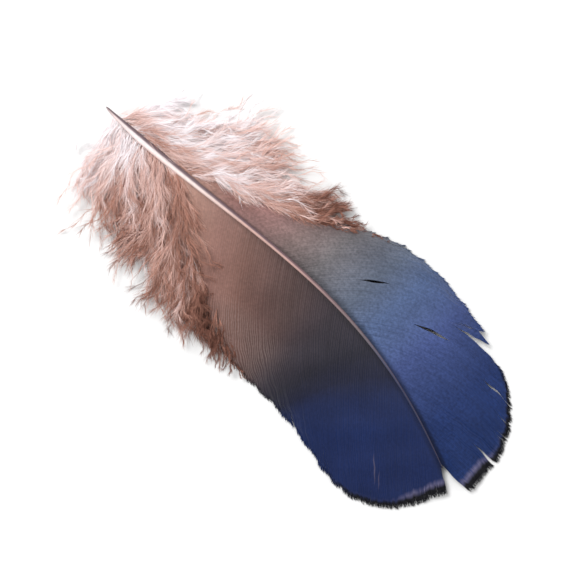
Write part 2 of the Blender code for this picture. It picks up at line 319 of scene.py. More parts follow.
def make_shaft():
    """A closed cylinder of many rings, bent and thinned to the shaft."""
    work = bmesh.new()
    bmesh.ops.create_cone(work, cap_ends=True, segments=SHAFT_SIDES, radius1=1, radius2=1, depth=1)
    lengthwise = [e for e in work.edges if abs(e.verts[0].co.z - e.verts[1].co.z) > 0.5]
    bmesh.ops.subdivide_edges(work, edges=lengthwise, cuts=SHAFT_RINGS)
    along_layer = work.verts.layers.float.new("along")
    side_shade_layer = work.verts.layers.float.new("shade_side")
    for vert in work.verts:
        x = SHAFT_END * (vert.co.z + 0.5)
        turn = math.atan2(vert.co.y, vert.co.x)
        vert[along_layer] = x / FEATHER_LENGTH
        # How much of the shaft's painted shade this corner takes.
        vert[side_shade_layer] = float(smooth_step(*SIDE_SHADE_BORDER, math.cos(turn)))
        vert.co = (shaft_corner(x, turn) - FOOTPRINT_MIDDLE) * MM
    bmesh.ops.recalc_face_normals(work, faces=work.faces)
    mesh = bpy.data.meshes.new("shaft")
    work.to_mesh(mesh)
    work.free()
    mesh.shade_smooth()
    mesh.materials.append(horn)
    attach(bpy.data.objects.new("shaft", mesh))
    print("shaft has", len(mesh.polygons), "faces")


make_shaft()

# %% [markdown]
# ## Many strips in one mesh
#
# A feather has hundreds of barbs and tens of thousands of barbules. Each could be an object of its own, but
# Blender is slow with so many. Instead, numpy works out the corners of all the strips at once, and they are
# written into one mesh. A strip is rows by columns of corners. Where its columns go all the way round, both
# its ends are closed too. Every corner also carries a few numbers for the materials.

# %% The faces of strips


def strip_faces(strips, rows, columns, first, closed):
    """Corner numbers of the faces of strips that are rows by columns of corners each."""
    across = columns if closed else columns - 1
    strip = np.arange(strips)[:, None, None] * rows * columns
    row = np.arange(rows - 1)[None, :, None] * columns
    left = np.arange(across)[None, None, :]
    right = (left + 1) % columns
    here, beyond = strip + row, strip + row + columns
    corners = [here + left, here + right, beyond + right, beyond + left]
    return first + np.stack(np.broadcast_arrays(*corners), axis=-1).reshape(-1, 4)


def end_faces(strips, rows, columns, first):
    """Corner numbers of the faces that close both ends of strips that are closed all round."""
    start = first + np.arange(strips)[:, None] * rows * columns + np.arange(columns)[::-1]
    return np.concatenate([start, start[:, ::-1] + (rows - 1) * columns])


print("a triangular rod has", len(strip_faces(1, 2, 3, 0, True)), "faces round it")

# %% Write strips of corners into one mesh
SHARP_FROM = math.radians(60)


def join_strips(name, parts, material, sharp_edges=False):
    """One piece from parts, each (corners, closed, values); corners are strips x rows x columns x 3."""
    places, faces, values = [], [], {}
    first = 0
    for corners, closed, carried in parts:
        strips, rows, columns, _ = corners.shape
        places.append(corners.reshape(-1, 3))
        faces.append(strip_faces(strips, rows, columns, first, closed))
        if closed:
            faces.append(end_faces(strips, rows, columns, first))
        for key, value in carried.items():
            values.setdefault(key, []).append(np.broadcast_to(value, corners.shape[:3]).reshape(-1))
        first += strips * rows * columns
    places = (np.concatenate(places) - FOOTPRINT_MIDDLE) * MM
    sizes = np.concatenate([np.full(len(alike), alike.shape[1]) for alike in faces])
    loops = np.concatenate([alike.ravel() for alike in faces])
    mesh = bpy.data.meshes.new(name)
    mesh.vertices.add(len(places))
    mesh.vertices.foreach_set("co", places.ravel().astype(np.float32))
    mesh.loops.add(len(loops))
    mesh.loops.foreach_set("vertex_index", loops.astype(np.int32))
    mesh.polygons.add(len(sizes))
    mesh.polygons.foreach_set("loop_start", (np.cumsum(sizes) - sizes).astype(np.int32))
    mesh.update(calc_edges=True)
    for key, value in values.items():
        attribute = mesh.attributes.new(key, "FLOAT", "POINT")
        attribute.data.foreach_set("value", np.concatenate(value).astype(np.float32))
    mesh.shade_smooth()
    if sharp_edges:
        mesh.set_sharp_from_angle(angle=SHARP_FROM)
    mesh.materials.append(material)
    attach(bpy.data.objects.new(name, mesh))
    print(name, "has", int((sizes - 2).sum()), "triangles")


# %% [markdown]
# ## The vanes' colours
#
# The colours run in bands across each vane, and on the dark vane the bands slant. `band` says how far along
# the feather a corner is, with that slant counted in, and a colour ramp turns it into colour. `stem` shows
# the barb's paler stem, and `shaft_shade` is painted shade along the line where the vane dips beside the
# shaft. A thin black fringe and a lilac line inside it follow `to_edge`, the distance to the barb's end.
# Underneath, feathers are dull, and `under` mixes that in. Image textures could hold all this too, but they
# would blur close up, and numbers on the corners bend with the barbs.

# %% The vanes' finish
# Millimetres from a barb's end at which a line starts, and at which it is at its strongest.
LILAC_LINE, BLACK_FRINGE = (1.9, 1.3), (1.35, 0.75)
STEM, LILAC, BLACK, DULL = (170, 152, 148), (132, 124, 152), (16, 16, 22), (84, 74, 72)
GRAIN_SIZE, CLOUD_SIZE = 0.0003, 0.004  # metres


def vane_finish(name, stops, grain, gloss_rises):
    """One vane's finish, from its run of colour, how grainy it is and where along it the gloss rises."""
    finish = Finish(name, roughness=0.46, specular=0.22)
    band, tone = finish.attribute("band"), finish.attribute("tone")
    colour = finish.ramp(band, [(place / FEATHER_LENGTH, screen) for place, screen in stops])
    colour = finish.shade(colour, finish.ramp(tone, [(0.0, (236, 236, 236)), (1.0, (255, 255, 255))]), 0.8)
    pale = finish.times(finish.attribute("stem"), finish.spread(band, 0.3, 0.75, 0.1, 0.03))
    colour = finish.mix(pale, colour, linear(STEM))
    # Painted shade beside the shaft, where the vane dips.
    colour = finish.shade(colour, finish.spread(finish.attribute("shaft_shade"), 0.0, 1.0, 1.0, 0.35))
    grains = finish.noise(GRAIN_SIZE, 3.0)
    colour = finish.shade(colour, finish.spread(grains, 0.3, 0.7, 1.0 - grain, 1.0 + grain))
    colour = finish.shade(colour, finish.spread(finish.noise(CLOUD_SIZE), 0.35, 0.7, 0.9, 1.1))
    to_edge = finish.attribute("to_edge")
    line = finish.times(finish.spread(to_edge, *LILAC_LINE), finish.attribute("lilac"))
    line = finish.times(line, finish.spread(tone, 0.2, 0.9, 0.3, 1.0))
    colour = finish.mix(line, colour, linear(LILAC))
    fringe = finish.times(finish.spread(to_edge, *BLACK_FRINGE), finish.attribute("tipward"))
    colour = finish.mix(fringe, colour, linear(BLACK))
    colour = finish.mix(finish.times(finish.attribute("under"), 0.75), colour, linear(DULL))
    finish.put("Base Color", colour)
    gloss = finish.spread(band, gloss_rises[0] / FEATHER_LENGTH, gloss_rises[1] / FEATHER_LENGTH, 0.0, 0.3)
    finish.put("Metallic", gloss)
    return finish.material


# %% Two vanes, two runs of colour
# Each is (millimetres along the feather, colour).
DARK_STOPS = [
    (8, (220, 190, 176)), (12, (202, 164, 150)), (15, (166, 128, 115)), (19, (135, 99, 90)),
    (23, (109, 78, 70)), (27, (87, 63, 59)), (31, (69, 52, 51)), (35, (55, 45, 50)), (38, (45, 40, 48)),
    (44, (31, 31, 43)), (48, (24, 28, 50)), (51, (25, 37, 74)), (55, (22, 39, 84)), (62, (21, 37, 81)),
]
# The bright vane's lighter steel blue and violet blue are partly the feather's own blue and partly painted
# iridescent sheen, which this side shows because of how it meets the light. The dark vane's run is the same
# feather without that sheen.
BRIGHT_STOPS = [
    (8, (205, 166, 152)), (15, (176, 135, 122)), (20, (154, 114, 109)), (24, (140, 107, 104)),
    (28, (121, 103, 101)), (32, (104, 100, 103)), (35, (95, 98, 109)), (38, (89, 99, 118)),
    (42, (77, 95, 132)), (45, (73, 90, 132)), (48, (63, 78, 127)), (52, (48, 65, 114)),
    (56, (27, 47, 95)), (61, (18, 42, 91)),
]
brown_to_navy = vane_finish("dark_vane_brown_to_navy", DARK_STOPS, grain=0.12, gloss_rises=(42, 54))
blue_with_painted_sheen = vane_finish("bright_vane_blue_with_painted_sheen", BRIGHT_STOPS, grain=0.24, gloss_rises=(24, 36))
print("each vane's finish has", len(blue_with_painted_sheen.node_tree.nodes), "nodes")

# %% [markdown]
# ## Where the web ends
#
# The smooth web of a vane is narrow near the quill, where most of each barb is down, and widens to its full
# width by the middle of the feather. The outline could be cut out of a flat sheet, but then no barb would end
# of its own. So a few points on each side say how far from the shaft the web reaches, a smooth curve runs
# through them, and every barb stops there.

# %% The web's edge on both sides
WEB_EDGE = {
    DARK: [(8.0, 0.3), (10.1, 1.0), (12.6, 2.9), (15.3, 5.0), (19.9, 8.1), (23.8, 10.5), (28.0, 12.6),
           (33.0, 14.2), (43.0, 13.9), (52.0, 13.5), (55.5, 12.5), (58.6, 10.1), (60.8, 7.4), (62.3, 4.2),
           (63.3, 0.5)],
    BRIGHT: [(8.0, 0.6), (10.0, 1.4), (13.0, 2.4), (16.0, 3.0), (20.5, 4.0), (23.0, 4.7), (26.0, 6.0),
             (31.0, 8.5), (36.0, 10.8), (40.0, 11.8), (46.0, 12.3), (52.0, 12.5), (58.6, 12.1), (61.4, 11.1),
             (63.4, 9.2), (64.8, 6.4), (65.2, 1.5)],
}


def web_reach(side, x):
    """How far from the shaft the web reaches at x."""
    return smooth_curve(WEB_EDGE[side], x)


print("web's width at x = 40 mm:", round(float(web_reach(DARK, 40.0) + web_reach(BRIGHT, 40.0)), 1), "mm")

# %% [markdown]
# ## The barbs' lines
#
# A barb leaves the shaft at about 50 degrees and bends towards the tip on its way out. One barb could be
# copied along the shaft, but real ones change their course all the way up. So each line is walked in short
# steps, all barbs of a side together, and at every step a barb's angle to the shaft depends on how far out
# it has come. Near the quill the barbs stay steep, because there they go on past the web as down.

# %% Which way a barb goes
# Degrees between a barb and the shaft: at its root, at the web's edge, and at the root of the last barbs.
ROOT_ANGLE = {DARK: 54.0, BRIGHT: 46.0}
EDGE_ANGLE = {DARK: 22.0, BRIGHT: 17.0}
TIP_ANGLE = {DARK: 12.0, BRIGHT: 22.0}
# Near the quill barbs stand steeper: fully so up to one x, and no more from another on.
STEEP_UP_TO, STEEP_ENDS = {DARK: 22.0, BRIGHT: 26.0}, {DARK: 42.0, BRIGHT: 46.0}
STEEPER_AT_ROOT, STEEPER_AT_EDGE = {DARK: 10.0, BRIGHT: 8.0}, {DARK: 38.0, BRIGHT: 30.0}


def between(pair, share):
    """The value a share of the way from the first of a pair to the second."""
    return pair[0] + (pair[1] - pair[0]) * share


def barb_course(side, x, across, swing):
    """The barbs' angle to the shaft, in degrees, at x and at a distance across from the shaft.

    swing is 0 for most barbs, and rises to 1 for the last one, which points almost straight to the tip.
    """
    steep = smooth_step(STEEP_ENDS[side], STEEP_UP_TO[side], x)
    at_root = between((ROOT_ANGLE[side], TIP_ANGLE[side]), swing) + STEEPER_AT_ROOT[side] * steep
    at_edge = between((EDGE_ANGLE[side], 0.8 * TIP_ANGLE[side]), swing) + STEEPER_AT_EDGE[side] * steep
    return between((at_root, at_edge), np.clip(across / web_reach(side, x), 0, 1))


print("dark barbs at x = 45 mm leave the shaft at", float(barb_course(DARK, 45.0, 0.0, 0.0)), "degrees")

# %% Walk the barbs out from the shaft
FIRST_BARB, LAST_BARB, TIP_BARBS_START = 8.5, 59.8, 38.0
STEP, MOST_STEPS = 0.25, 240
ROOT_INSIDE = 0.1  # how far past the shaft's middle a barb starts


def walk_barbs(side, roots):
    """Points in plan along each barb, every quarter millimetre, and each barb's length to the edge."""
    swing = np.clip((roots - TIP_BARBS_START) / (LAST_BARB - TIP_BARBS_START), 0, 1)
    x = roots.copy()
    y = shaft_side(x) - side * ROOT_INSIDE
    line = [np.stack([x, y], -1)]
    lengths = np.full(len(roots), np.nan)
    for n in range(1, MOST_STEPS):
        across = side * (y - shaft_side(x))
        course = shaft_heading(x) + side * np.radians(barb_course(side, x, across, swing))
        x = x + STEP * np.cos(course)
        y = y + STEP * np.sin(course)
        line.append(np.stack([x, y], -1))
        arrived = (side * (y - shaft_side(x)) >= web_reach(side, x)) | (x >= WEB_EDGE[side][-1][0])
        lengths = np.where(np.isnan(lengths) & arrived, n * STEP, lengths)
    return np.stack(line, 1), lengths


def point_on(lines, line, place):
    """Points on some of the lines at a place between two rows, and the row below each."""
    low = np.clip(place.astype(int), 0, lines.shape[1] - 2)
    part = (place - low)[..., None]
    return lines[line, low] * (1 - part) + lines[line, low + 1] * part, low


def along_line(lines, distance):
    """Points at distances (barbs x rows) along lines that have a point every step."""
    place = np.clip(distance / STEP, 0, lines.shape[1] - 1.001)
    return point_on(lines, np.arange(len(lines))[:, None], place)[0]


print("dark barb from x = 30 mm:", float(walk_barbs(DARK, np.array([30.0]))[1][0]), "mm long")

# %% [markdown]
# ## Splits
#
# Where barbs lose their hold on each other, the vane opens. An open split starts part of the way out and
# widens to the edge. A closed one opens and shuts again inside the vane. Splits could be cut out with a
# boolean, but on a feather nothing is missing: the barbs on both sides are only pushed apart, and so they are
# here. Each split is given by the place on the shaft where the barb beside it roots.

# %% The splits that the feather has
# Each is (root, start, width, felt): start is a share of the barb, and the rest are millimetres.
OPEN_SPLITS = {
    BRIGHT: [(51.2, 0.70, 0.5, 1.4)],
    DARK: [(20.5, 0.75, 0.5, 1.6), (28.4, 0.86, 0.15, 1.4)],
}
# Each is (root, start, end, width, felt).
CLOSED_SPLITS = {
    BRIGHT: [(33.1, 0.24, 0.39, 0.36, 1.0), (38.2, 0.38, 0.59, 0.42, 1.1), (40.2, 0.79, 0.93, 0.28, 1.0)],
    DARK: [],
}
SMALL_SPLITS, SMALL_SPLIT_WIDTH, SMALL_SPLIT_FELT = 16, {BRIGHT: 0.14, DARK: 0.07}, 0.8


def widening(share, start):
    """How far an open split has widened at each share of a barb: 0 up to its start, and 1 at the end."""
    return np.clip((share - start) / (1 - start), 0, 1.2) ** 1.3


def apart(roots, place, width, felt, opened):
    """How far barbs are pushed to the two sides of a split, and less the further off they root."""
    away = (roots - place)[:, None]
    return np.sign(away) * 0.5 * width * opened * np.exp(-np.abs(away) / felt)


def split_push(side, roots, share, chance):
    """How far each barb is pushed towards the tip, or back, at each share of its length."""
    open_splits = list(OPEN_SPLITS[side])
    for _ in range(SMALL_SPLITS):
        root, start = chance.uniform(12, 58), chance.uniform(0.76, 0.94)
        open_splits.append((root, start, chance.uniform(0.3, 1) * SMALL_SPLIT_WIDTH[side], SMALL_SPLIT_FELT))
    push = np.zeros_like(share)
    for root, start, width, felt in open_splits:
        push += apart(roots, root, width, felt, widening(share, start))
    for root, start, end, width, felt in CLOSED_SPLITS[side]:
        opened = np.sin(np.pi * np.clip((share - start) / (end - start), 0, 1))
        push += apart(roots, root, width, felt, opened)
    return push


print("large splits in the bright vane:", len(OPEN_SPLITS[BRIGHT] + CLOSED_SPLITS[BRIGHT]))

# %% The flap on the bright vane
# The barbs below one root are splayed outwards, and worn short, so that they make a flap.
FLAP_ROOT, FLAP_START = 35.0, 0.67
FLAP_SPLAY, SPLAY_FELT = 4.2, 1.4
FLAP_WORN, WEAR_FELT = 5.2, 2.0


def flap_share(roots, felt):
    """How much each barb takes part in the flap: most just below its root, and not at all above."""
    below = np.maximum(FLAP_ROOT - roots, 0.0)[:, None]
    return np.exp(-below / felt) * (below > 0)


worn = FLAP_WORN * flap_share(np.array([FLAP_ROOT - 1.0]), WEAR_FELT)[0, 0]
print("the flap's barb that roots 1 mm below is", round(float(worn), 1), "mm shorter")

# %% [markdown]
# ## The vanes
#
# Each barb is a thin strip with a raised ridge, the barb's own stem. On both sides of it the web of hooked
# barbules is a sloping sheet that meets the next barb's. One smooth sheet with a bump texture could look the
# same from above, but not at its edge or where it opens. The strips close to a smooth vane where they lie
# together, and come apart where a split pushes them. Near its end a strip narrows to a hair.

# %% How far out the rows of each barb lie
BARBS = 180
ROWS = 40
NEVER_EVEN = 0.09  # at most this far is a root from its even place


def row_distances(side, roots, lengths, chance):
    """How far out each row of each barb lies: denser near the end, and with slightly uneven ends."""
    share = 1 - (1 - np.linspace(0, 1, ROWS)) ** 1.25
    uneven = np.convolve(chance.normal(0, 1, BARBS + 8), np.ones(9) / 9, "valid")
    ends = lengths + 0.1 + 0.12 * uneven + chance.uniform(-0.04, 0.04, BARBS)
    distance = ends[:, None] * share[None, :]
    if side == BRIGHT:
        distance = distance - FLAP_WORN * flap_share(roots, WEAR_FELT) * smooth_step(0.6, 1.0, share)
    return distance


print("a vane has", BARBS * ROWS, "points on its barbs' lines")

# %% How high they lie, and how they waver
# Each wave is (height, radians for each millimetre along, the same across).
VANE_WAVES = [(0.14, 0.42, 0.5), (0.05, 1.1, -0.8)]
BELOW_MIDDLE = 0.06  # how far below the shaft's middle a barb starts
EDGE_HEIGHT, LEAST_HEIGHT = 0.3, 0.14
SHORT_BARBS_STAY_UP = 0.72


def vane_wave(x, y):
    """Shallow waves in the height of a vane, which is never quite even."""
    return sum(height * np.sin(along * x + across * y) for height, along, across in VANE_WAVES)


def vane_heights(roots, lengths, reach, places, chance):
    """The height of every row: down from the shaft to the surface, where the barb is long enough."""
    start = shaft_height(roots)[:, None] - BELOW_MIDDLE
    short = smooth_step(13.0, 2.0, lengths)[:, None]
    settled = EDGE_HEIGHT + (start - EDGE_HEIGHT) * SHORT_BARBS_STAY_UP * short
    height = start + (settled - start) * np.clip(reach, 0, 1) ** 1.7
    wave = vane_wave(places[..., 0], places[..., 1]) * smooth_step(0.1, 0.5, reach)
    height += wave * smooth_step(1.0, 0.8, reach)
    return np.maximum(height + chance.normal(0, 0.01, (BARBS, 1)), LEAST_HEIGHT)


def barb_wobble(x, y):
    """How far the barbs at a place waver sideways, all together."""
    wide = 0.1 * np.sin(1.9 * x + 0.9 * y + 1.3 * np.sin(0.35 * x))
    return wide + 0.05 * np.sin(4.1 * y - 1.2 * x)


print("vane's waves, mm high:", [wave[0] for wave in VANE_WAVES])

# %% The middle lines of a vane's strips
LOOK_AHEAD = 0.3  # millimetres, to find the way that a barb heads
OWN_WAVER = 0.005  # how much a barb strays from its neighbours between one row and the next
SPLIT_LIFTS = 0.25  # how much barbs rise for each millimetre that a split pushes them


def unit(vectors):
    """The same directions, with length 1."""
    return vectors / np.linalg.norm(vectors, axis=-1, keepdims=True)


def vane_lines(side, chance):
    """Middle lines of a vane's barbs as barbs x rows x 3, and the numbers that go with them."""
    roots = np.linspace(FIRST_BARB, LAST_BARB, BARBS) + chance.uniform(-NEVER_EVEN, NEVER_EVEN, BARBS)
    lines, lengths = walk_barbs(side, roots)
    distance = row_distances(side, roots, lengths, chance)
    flat = along_line(lines, distance)
    ahead = unit(along_line(lines, distance + LOOK_AHEAD) - flat)
    reach = distance / lengths[:, None]
    push = split_push(side, roots, reach, chance)
    if side == BRIGHT:
        push = push - FLAP_SPLAY * widening(reach, FLAP_START) * flap_share(roots, SPLAY_FELT)
    strays = np.cumsum(chance.normal(0, OWN_WAVER, (BARBS, ROWS)), 1)
    wobble = barb_wobble(flat[..., 0], flat[..., 1]) * reach + strays * reach**2
    towards_tip = side * np.stack([ahead[..., 1], -ahead[..., 0]], -1)
    waved = flat + towards_tip * wobble[..., None]
    moved = waved + towards_tip * push[..., None]
    height = vane_heights(roots, lengths, reach, moved, chance)
    return {
        "roots": roots,
        "middle": np.concatenate([moved, (height + SPLIT_LIFTS * np.abs(push))[..., None]], -1),
        "unsplit": np.concatenate([waved, height[..., None]], -1),
        "ahead": ahead,
        "reach": reach,
        "to_edge": distance[:, -1:] - distance,
        "tone": np.clip(chance.normal(0.6, 0.22, BARBS), 0, 1),
    }


# %% [markdown]
# The strips carry the numbers that the vanes' finish reads. Most of them depend only on where a corner is, so
# one function works them out for the barbs here and for the free barbules later. The pale stems show a little
# on every barb, and plainly where the barbules are worn off.

# %% The numbers that a vane's corners carry
# How much further along the dark vane's corners count, in colour, for each millimetre outwards: less near the
# quill, where the edge stays brown longer, and more near the tip. It changes between two places.
BAND_SLANT, SLANT_TURNS = (-0.65, 0.6), (32.0, 45.0)
# Painted shade where a vane dips beside the shaft. The bright vane also takes a wider painted shade for a few
# millimetres beside its brown shaft.
SHAFT_SHADE, WIDE_SHAFT_SHADE = {DARK: 0.5, BRIGHT: 1.0}, {DARK: 0.0, BRIGHT: 0.46}
# The black fringe starts here and is full a little further on. It is wider close to the shaft.
TIP_STARTS, TIP_FULL_AFTER = {DARK: 50.0, BRIGHT: 53.0}, 7.0
CLOSE_TO_SHAFT = (8.5, 4.5)
EDGE_COUNTS, LILAC_COUNTS = (1.7, 1.0), (0.05, 0.52)  # away from the shaft, and close to it


def carried_values(side, corners, to_edge, tone, stem=0.0, under=0.0):
    """The numbers that the vane's corners carry for the finish."""
    x = corners[..., 0]
    across = side * (corners[..., 1] - shaft_side(x))
    slant = between(BAND_SLANT, smooth_step(*SLANT_TURNS, x)) if side == DARK else 0.0
    tipward = smooth_step(TIP_STARTS[side], TIP_STARTS[side] + TIP_FULL_AFTER, x)
    close = smooth_step(*CLOSE_TO_SHAFT, across)
    # A wider band of painted shade beside the shaft, on the bright vane only.
    wide_shaft_shade = WIDE_SHAFT_SHADE[side] * smooth_step(3.2, 1.1, across) * smooth_step(38.0, 28.0, x)
    return {
        "band": (x + slant * across) / FEATHER_LENGTH,
        "to_edge": to_edge * between(EDGE_COUNTS, close),
        "tone": tone,
        "tipward": tipward,
        "lilac": smooth_step(0.6, 1.0, tipward) * between(LILAC_COUNTS, close),
        # How much painted shade a corner takes beside the shaft.
        "shaft_shade": np.maximum(SHAFT_SHADE[side] * smooth_step(0.85, 0.3, across), wide_shaft_shade),
        "stem": stem,
        "under": under,
    }


# %% Where the stems show
# Two barbs of the dark vane show their pale stems where the barbules are worn off: (root, start, end).
WORN_BARBS, WORN_BARB_SHOWS = [(44.9, 0.64, 0.88), (45.7, 0.74, 0.9)], 6.0
WORN_PATCH_SHOWS = 2.6  # on the outer part of the dark vane, halfway along it
# How much of the paleness each place of the strip's section takes.
STEM_SHARES = np.array([0.0, 0.4, 1.0, 0.4, 0.0, 0.0, 0.0, 0.0])


def stem_values(side, made):
    """How plainly the stems show, as barbs x rows x columns."""
    x, y = made["middle"][..., 0], made["middle"][..., 1]
    worn = np.zeros_like(x)
    if side == DARK:
        patch = WORN_PATCH_SHOWS * smooth_step(7.0, 10.5, shaft_side(x) - y)
        worn += patch * smooth_step(24.0, 29.0, x) * smooth_step(40.0, 35.0, x)
        for root, start, end in WORN_BARBS:
            barb = np.abs(made["roots"] - root).argmin()
            reach = made["reach"][barb]
            bare = WORN_BARB_SHOWS * smooth_step(start, start + 0.08, reach)
            worn[barb] += bare * smooth_step(end, end - 0.08, reach)
    return (STEM_SHARES == 1.0) + worn[:, :, None] * STEM_SHARES


# %% Widen the lines to strips
# The strip's section: places across it, with its borders at -1 and 1, and heights in millimetres.
SECTION_TOP = [(-1.07, -0.002), (-0.5, 0.002), (0.0, 0.01), (0.5, 0.004), (1.07, 0.002)]
SECTION_UNDER = [(0.5, -0.04), (0.0, -0.09), (-0.5, -0.05)]
# Over the last of a barb its strip narrows to a hair, with these shares of its width and thickness.
HAIR_LENGTH, HAIR_WIDTH, HAIR_THICKNESS = 0.24, (0.2, 1.0), (0.35, 1.0)
SURFACE_GAP = 0.02


def half_widths(unsplit):
    """From each barb's middle line, the way to the border with the barb before and after it."""
    border = (unsplit[1:] + unsplit[:-1]) / 2
    first = unsplit[:1] * 1.5 - unsplit[1:2] * 0.5
    last = unsplit[-1:] * 1.5 - unsplit[-2:-1] * 0.5
    border = np.concatenate([first, border, last])
    return border[:-1] - unsplit, border[1:] - unsplit


def vane_strips(side, made, chance):
    """The closed strips of all barbs."""
    before, after = half_widths(made["unsplit"])
    if side == DARK:  # a mirrored side: its sections run the other way round, so that faces point outwards
        before, after = after, before
    hair = smooth_step(0.0, HAIR_LENGTH, made["to_edge"] - chance.uniform(0, 0.06, (BARBS, 1)))
    loose = smooth_step(26, 12, made["roots"])[:, None] * smooth_step(0.5, 1.0, made["reach"])
    wide = between(HAIR_WIDTH, hair) * (1 - 0.6 * loose)
    columns = []
    for place, lift in SECTION_TOP + SECTION_UNDER:
        way = np.where(place < 0, -place, 0) * before + np.where(place > 0, place, 0) * after
        corner = made["middle"] + way * wide[..., None]
        corner[..., 2] += lift * between(HAIR_THICKNESS, hair)
        columns.append(corner)
    corners = np.stack(columns, 2)
    corners[..., 2] = np.maximum(corners[..., 2], SURFACE_GAP)
    under = np.array([0.0] * len(SECTION_TOP) + [1.0] * len(SECTION_UNDER))
    values = carried_values(side, corners, made["to_edge"][:, :, None], made["tone"][:, None, None],
                            stem_values(side, made), under)
    return corners, True, values


# %% [markdown]
# ## Barbules along the fringe
#
# Past the web's end the barbules stand free and make the soft fringe. They could be left to a texture with
# see-through gaps, but then the edge would stay a sheet. Each is a blade of two faces that starts on the barb
# and points forwards and outwards.

# %% Free barbules on the ends of the barbs
FRINGE_BARBULES = 24  # on each barb
FRINGE_DEPTH = 0.8  # how far back from a barb's end they start
FRINGE_WIDTHS = (0.026, 0.02, 0.004)
NEARER_THE_EDGE = 0.8  # they reach past the barb, so their distance to the edge counts for less


def blades(base, way, bend, length, widths, chance):
    """Blades of two faces from base points: each runs along way and leans towards bend at its end.

    Most turn their flat side up, as barbules do, so that together they look soft and bright.
    """
    thin = unit(np.cross(chance.normal(0, 0.55, way.shape) + [0, 0, 1], way))
    rows = []
    for share, width in zip((0.0, 0.5, 1.0), widths):
        middle = base + way * length * share + bend * length * share**2
        rows.append(np.stack([middle + thin * width, middle - thin * width], -2))
    corners = np.stack(rows, -3).reshape(-1, 3, 2, 3)
    corners[..., 2] = np.maximum(corners[..., 2], 0.015)
    return corners


def fringe_blades(side, made, chance):
    """Free barbules over the last stretch of every barb."""
    count = BARBS * FRINGE_BARBULES
    barb = np.repeat(np.arange(BARBS), FRINGE_BARBULES)
    back = FRINGE_DEPTH * chance.uniform(0, 1, count) ** 1.2
    place = np.array([np.interp(-b, -made["to_edge"][i], np.arange(ROWS)) for i, b in zip(barb, back)])
    base, low = point_on(made["middle"], barb, place)
    ahead = np.concatenate([made["ahead"][barb, low], np.zeros((count, 1))], -1)
    aside = np.stack([-ahead[:, 1], ahead[:, 0], np.zeros(count)], -1)
    angle = (np.radians(chance.uniform(8, 30, count)) * chance.choice([-1, 1], count))[:, None]
    way = ahead * np.cos(angle) + aside * np.sin(angle)
    way[:, 2] += chance.uniform(-0.15, 0.25, count)
    length = chance.uniform(0.16, 0.36, count)[:, None]
    corners = blades(base, way, 0.2 * ahead, length, FRINGE_WIDTHS, chance)
    to_edge = (back * NEARER_THE_EDGE)[:, None, None]
    return corners, False, carried_values(side, corners, to_edge, made["tone"][barb][:, None, None])


print("free barbules on each vane:", BARBS * FRINGE_BARBULES)

# %% Make both vanes
VANE_SEED = 11
vane_barbs = {}
for side, name, finish in ((DARK, "dark_vane", brown_to_navy), (BRIGHT, "bright_vane", blue_with_painted_sheen)):
    chance = np.random.default_rng(VANE_SEED + side)
    vane_barbs[side] = vane_lines(side, chance)
    strips = vane_strips(side, vane_barbs[side], chance)
    join_strips(name, [strips, fringe_blades(side, vane_barbs[side], chance)], finish, sharp_edges=True)

# %% [markdown]
# ## The down
#
# A downy barb has no hooks, so its barbules stand out on all sides and it curls as it likes. Many lie
# together in locks. Each lock has a line that leaves the feather, arches and settles. Its threads follow that
# line with their own wander, and every thread is set with short curved barbules. A hair system would be
# quicker to comb, but it isn't a mesh, so the threads are worked out as lines and widened to thin strips.
#
# Its finish is soft and matt, with a little sheen. One number, the tone, runs from brown to nearly white.

# %% The down's finish
DOWN_STOPS = [(0.0, (104, 62, 48)), (0.3, (180, 128, 110)), (0.6, (229, 192, 181)), (0.8, (244, 222, 219)),
              (1.0, (255, 250, 253))]


def down_finish():
    """Matt, softly shining threads."""
    finish = Finish("down_pinkish", roughness=0.7, specular=0.3)
    finish.put("Sheen Weight", 0.15)
    finish.put("Base Color", finish.ramp(finish.attribute("tone"), DOWN_STOPS))
    return finish.material


pinkish = down_finish()
print(pinkish.name, "has", len(DOWN_STOPS), "shades")

# %% Draw one thread
THREAD_ROWS = 26
ALONG = np.linspace(0, 1, THREAD_ROWS)
# Down is crimped: the threads of a lock wave together, this far in radians and at this length in millimetres.
CRIMP, CRIMP_LENGTH = 0.34, 4.2
# Each thread also wanders by itself, this far in radians and this fast.
SLOW_WANDER, QUICK_WANDER, RISE_AND_FALL = (0.12, 7), (0.07, 15), (0.3, 8)


def wandering_thread(root, heading, length, wave, heights, chance):
    """One thread from a root: its heading wanders with the lock's wave and with its own."""
    own = chance.uniform(0, 6.28, 2)
    heading = heading + wave[0] * ALONG * np.sin(wave[1] * ALONG + wave[2])
    crimp = CRIMP * np.sin(2 * np.pi * length * ALONG / CRIMP_LENGTH + 2 * wave[2])
    heading = heading + crimp * np.minimum(4 * ALONG, 1)
    heading = heading + SLOW_WANDER[0] * ALONG * np.sin(SLOW_WANDER[1] * ALONG + own[0])
    heading = heading + QUICK_WANDER[0] * np.sin(QUICK_WANDER[1] * ALONG + own[1])
    stride = length / (THREAD_ROWS - 1)
    x = root[0] + np.cumsum(stride * np.cos(heading)) - stride * np.cos(heading[0])
    y = root[1] + np.cumsum(stride * np.sin(heading)) - stride * np.sin(heading[0])
    tip, lift = heights
    z = root[2] + (tip - root[2]) * ALONG**1.2 + lift * np.sin(np.pi * ALONG**0.8)
    z = z + RISE_AND_FALL[0] * ALONG * np.sin(RISE_AND_FALL[1] * ALONG + own[1])
    return np.stack([x, y, np.maximum(z, 0.12)], -1)


def random_wave(chance):
    """How a lock waves: how far, how often and from where."""
    return chance.uniform(0.3, 0.9), chance.uniform(4, 8), chance.uniform(0, 6.28)


print("a thread's line has", THREAD_ROWS, "points")
